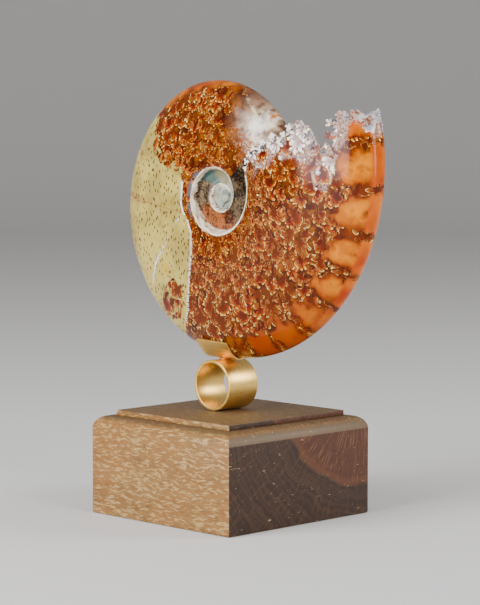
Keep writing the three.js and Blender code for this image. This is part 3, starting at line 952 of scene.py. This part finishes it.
def make_ring():
    mesh = bmesh.new()
    inner, half = RING_RADIUS - RING_WALL, RING_LENGTH / 2
    corners = [(inner, -half), (RING_RADIUS, -half), (RING_RADIUS, half), (inner, half)]
    verts = [mesh.verts.new((r * MM, y * MM, 0)) for r, y in corners]
    edges = [mesh.edges.new((verts[i], verts[(i + 1) % 4])) for i in range(4)]
    bmesh.ops.spin(mesh, geom=verts + edges, axis=(0, 1, 0), cent=(0, 0, 0), steps=144,
                   angle=2 * math.pi, use_merge=True)
    bmesh.ops.remove_doubles(mesh, verts=mesh.verts, dist=WELD)
    rims = [e for e in mesh.edges
            if abs(e.verts[0].co.y - e.verts[1].co.y) < 1e-6
            and abs(e.verts[0].co.xz.length - e.verts[1].co.xz.length) < 1e-5]
    round_edges(mesh, rims, RING_BEVEL, 3)
    bmesh.ops.recalc_face_normals(mesh, faces=mesh.faces)
    centre = Vector((RING_X, 0, PLATFORM_TOP + CONTACT_GAP + RING_RADIUS)) * MM
    bmesh.ops.translate(mesh, verts=mesh.verts, vec=centre)
    ring = shade(to_object(mesh, "ring_tube", brushed_brass("ring_brass", 0)))
    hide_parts("brass_ring")
    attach(ring, "root")


def make_cradle():
    """A strip bent once about a line along X to the shell's section at its lowest turn."""
    turn = np.radians(CRADLE_TURN)
    rows = []
    places, reaches = (np.linspace(*ends, CRADLE_ROWS) for ends in (CRADLE_X, CRADLE_REACH))
    for x, reach in zip(places, reaches):
        across = 1 - reach * np.linspace(0, 1, 19) ** 1.8
        line = np.stack([flank_half(turn, across), COIL_Z - flank_radius(turn, across)], axis=-1)
        line = np.concatenate([line[:0:-1] * (-1, 1), line])
        step = np.gradient(line, axis=0)
        step /= np.linalg.norm(step, axis=1)[:, None]
        out = np.stack([step[:, 1], -step[:, 0]], axis=-1)
        near, far = line + out * CONTACT_GAP, line + out * (CONTACT_GAP + CRADLE_THICKNESS)
        section = np.concatenate([near, far[::-1]])
        rows.append(np.insert(section, 0, x, axis=1) * MM)
    mesh = sheet_mesh(np.array(rows), around=True)
    bmesh.ops.remove_doubles(mesh, verts=mesh.verts, dist=WELD)
    bmesh.ops.holes_fill(mesh, edges=[e for e in mesh.edges if e.is_boundary], sides=0)
    bmesh.ops.recalc_face_normals(mesh, faces=mesh.faces)
    edges = [e for e in mesh.edges if e.calc_face_angle() > math.radians(60)]
    round_edges(mesh, edges, CRADLE_BEVEL, 2)
    cradle = shade(to_object(mesh, "cradle_strip", brushed_brass("cradle_brass", 0)))
    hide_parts("brass_cradle")
    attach(cradle, "root")


def make_solder():
    """The low fillet of solder between the ring and the strip."""
    mesh = bmesh.new()
    bmesh.ops.create_uvsphere(mesh, u_segments=32, v_segments=16, radius=MM)
    bmesh.ops.scale(mesh, verts=mesh.verts, vec=SOLDER_SIZE)
    bmesh.ops.translate(mesh, verts=mesh.verts, vec=Vector(SOLDER_PLACE) * MM)
    solder = shade(to_object(mesh, "solder", brushed_brass("solder", 1)))
    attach(solder, "root")


def make_block():
    mesh = bmesh.new()
    profile = [(BLOCK_HALF - FOOT_CHAMFER, 0.0), (BLOCK_HALF, FOOT_CHAMFER)]
    for angle in np.linspace(0, np.pi / 2, 13):
        profile.append((BLOCK_HALF - BLOCK_EDGE_ROUND * (1 - np.cos(angle)),
                        LEDGE_HEIGHT - BLOCK_EDGE_ROUND * (1 - np.sin(angle))))
    platform = BLOCK_HALF - PLATFORM_INSET
    profile += [(platform, LEDGE_HEIGHT), (platform, PLATFORM_TOP)]
    loops = []
    for half, z in profile:
        corners = [(half, -half), (half, half), (-half, half), (-half, -half)]
        ring = [mesh.verts.new((x * MM, y * MM, z * MM)) for x, y in corners]
        loops.append([mesh.edges.new((ring[i], ring[(i + 1) % 4])) for i in range(4)])
    for a, b in zip(loops, loops[1:]):
        bmesh.ops.bridge_loops(mesh, edges=a + b)
    bmesh.ops.holes_fill(mesh, edges=[e for e in mesh.edges if e.is_boundary], sides=0)
    bmesh.ops.recalc_face_normals(mesh, faces=mesh.faces)
    hard = [e for e in mesh.edges if e.calc_face_angle() > math.radians(30)]
    round_edges(mesh, hard, BLOCK_BEVEL, 2)
    block = shade(to_object(mesh, "oak_block", oak_finish()), 30.0)
    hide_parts("wood_base")
    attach(block, "root")


# floor, lights and camera
def make_floor():
    """A round floor that sweeps up into a wall, so that no horizon shows."""
    mesh = bmesh.new()
    profile = [(0.0, 0.0), (FLOOR_RADIUS, 0.0)]
    for angle in np.linspace(0, np.pi / 2, 17)[1:]:
        profile.append((FLOOR_RADIUS + SWEEP_RADIUS * np.sin(angle),
                        SWEEP_RADIUS * (1 - np.cos(angle))))
    profile.append((FLOOR_RADIUS + SWEEP_RADIUS, WALL_HEIGHT))
    verts = [mesh.verts.new((r, 0, z)) for r, z in profile]
    edges = [mesh.edges.new(pair) for pair in zip(verts, verts[1:])]
    bmesh.ops.spin(mesh, geom=verts + edges, axis=(0, 0, 1), cent=(0, 0, 0), steps=96,
                   angle=2 * math.pi, use_merge=True)
    bmesh.ops.remove_doubles(mesh, verts=mesh.verts, dist=1e-6)
    bmesh.ops.recalc_face_normals(mesh, faces=mesh.faces)
    finish = Finish("pale_floor", Roughness=0.9)
    finish.feed("Base Color", (0.68, 0.67, 0.66))
    shade(to_object(mesh, "floor", finish.material))


def toward(azimuth, elevation):
    """The direction from the object to a viewer: azimuth 0 looks from -Y and 90 from +X."""
    a, e = math.radians(azimuth), math.radians(elevation)
    return Vector((math.sin(a) * math.cos(e), -math.cos(a) * math.cos(e), math.sin(e)))


def area_light(name, round_from_camera, elevation, distance, size, power):
    out = toward(CAMERA_AZIMUTH + round_from_camera, elevation)
    data = bpy.data.lights.new(name, "AREA")
    data.shape, data.size, data.size_y = "RECTANGLE", *size
    data.energy = power
    light = bpy.data.objects.new(name, data)
    light.location = Vector(LIGHT_AIM) + out * distance
    light.rotation_mode = "QUATERNION"
    light.rotation_quaternion = (-out).to_track_quat("-Z", "Y")
    bpy.context.scene.collection.objects.link(light)


def make_light():
    world = bpy.data.worlds.new("studio")
    bpy.context.scene.world = world
    world.use_nodes = True
    sky = world.node_tree.nodes["Background"]
    sky.inputs["Color"].default_value = (SKY_GREY, SKY_GREY, SKY_GREY, 1)
    sky.inputs["Strength"].default_value = SKY_STRENGTH
    for light in LIGHTS:
        area_light(*light)


def make_camera():
    back = toward(CAMERA_AZIMUTH, CAMERA_ELEVATION)
    azimuth = math.radians(CAMERA_AZIMUTH)
    right = Vector((math.cos(azimuth), math.sin(azimuth), 0))
    up = back.cross(right)
    data = bpy.data.cameras.new("camera")
    data.sensor_width = SENSOR_WIDTH
    data.lens = FOCAL_PIXELS / FRAME_HEIGHT * SENSOR_WIDTH
    data.clip_start, data.clip_end = 0.05, 100.0
    camera = bpy.data.objects.new("camera", data)
    place = (back * CAMERA_DISTANCE + right * CAMERA_SHIFT[0] + up * CAMERA_SHIFT[1]) * MM
    turn = Matrix((right, up, back)).transposed().to_4x4()
    camera.matrix_world = Matrix.Translation(place) @ turn
    bpy.context.scene.collection.objects.link(camera)
    bpy.context.scene.camera = camera


make_ammonite()
make_ring()
make_cradle()
make_solder()
make_block()
make_floor()
make_light()
make_camera()
